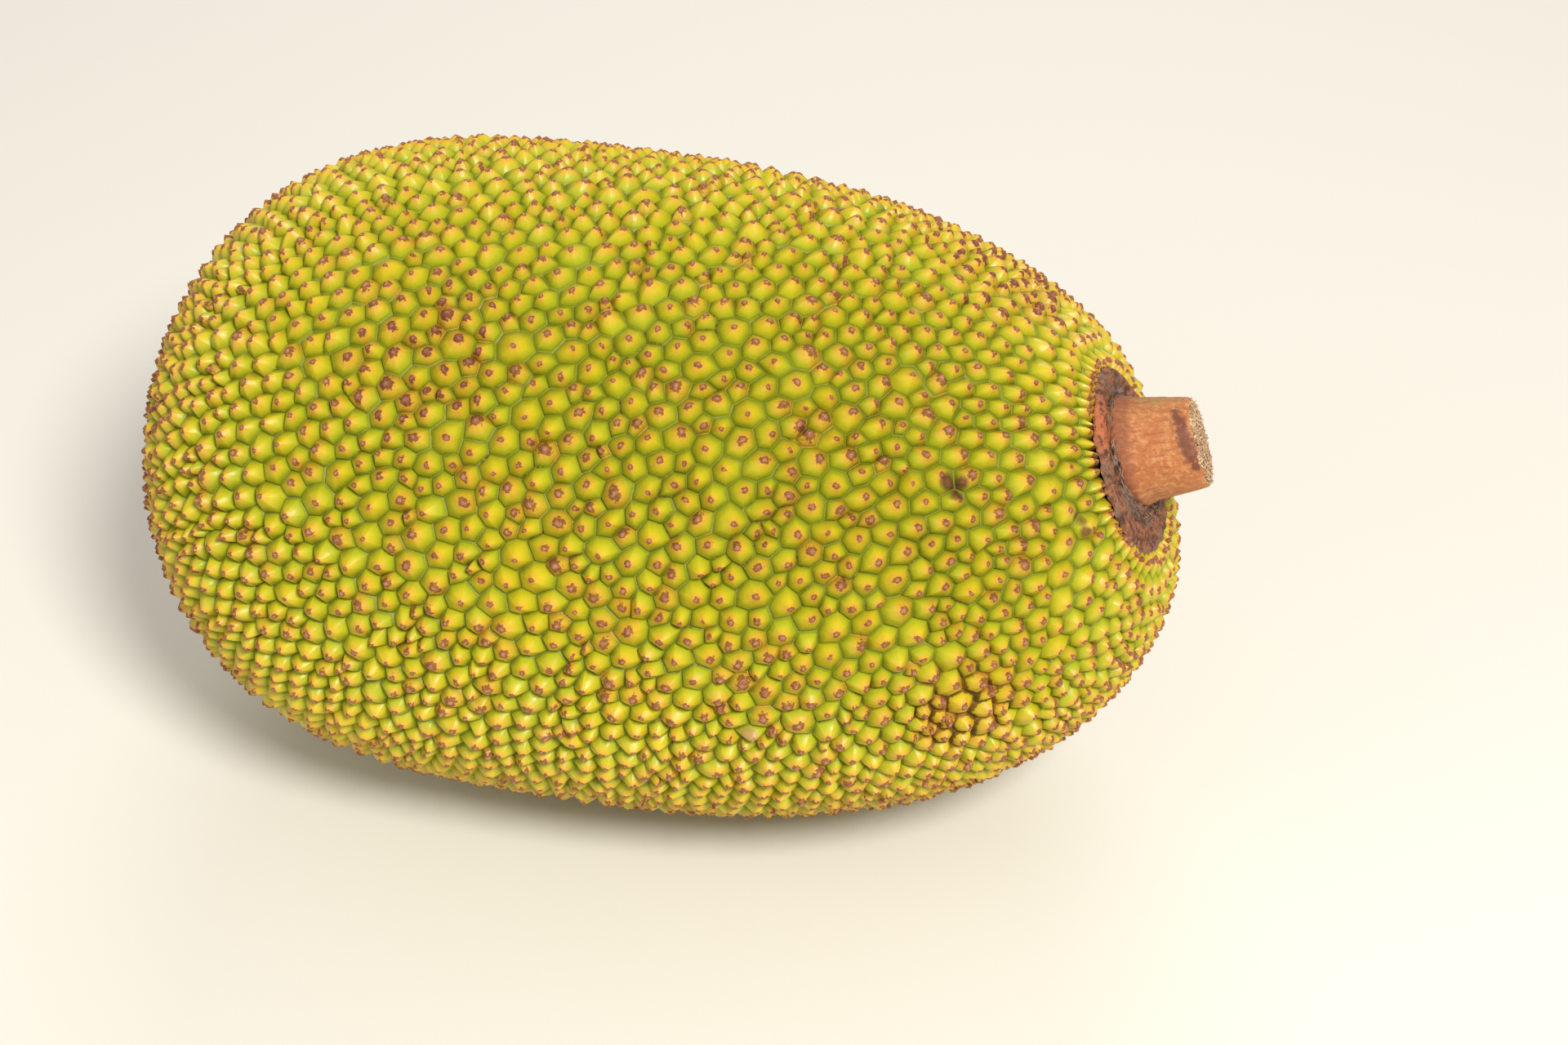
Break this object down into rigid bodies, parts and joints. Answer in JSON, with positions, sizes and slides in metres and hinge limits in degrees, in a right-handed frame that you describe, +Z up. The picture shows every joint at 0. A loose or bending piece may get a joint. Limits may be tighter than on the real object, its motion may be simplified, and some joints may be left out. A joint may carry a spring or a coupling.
{
  "type": "jackfruit",
  "caption": "Whole ripening jackfruit lying on its side: a long blunt body covered in low pointed tubercles, with a short stub of cut woody stalk.",
  "frame": {"origin": "below the middle of the whole object, on the plane that it rests on", "axes": "+Z up, +X along the fruit from the blossom end towards the stalk"},
  "size_m": [0.3602, 0.225, 0.2201],
  "materials": {
    "rind": "waxy yellow-green tubercled rind with small brown corky tips",
    "stalk_wood": "fibrous coppery brown bark, corky at the foot, with a pale sawn end"
  },
  "bodies": {
    "root": {"fruit": "rind", "stalk": "stalk_wood"}
  },
  "joints": []
}
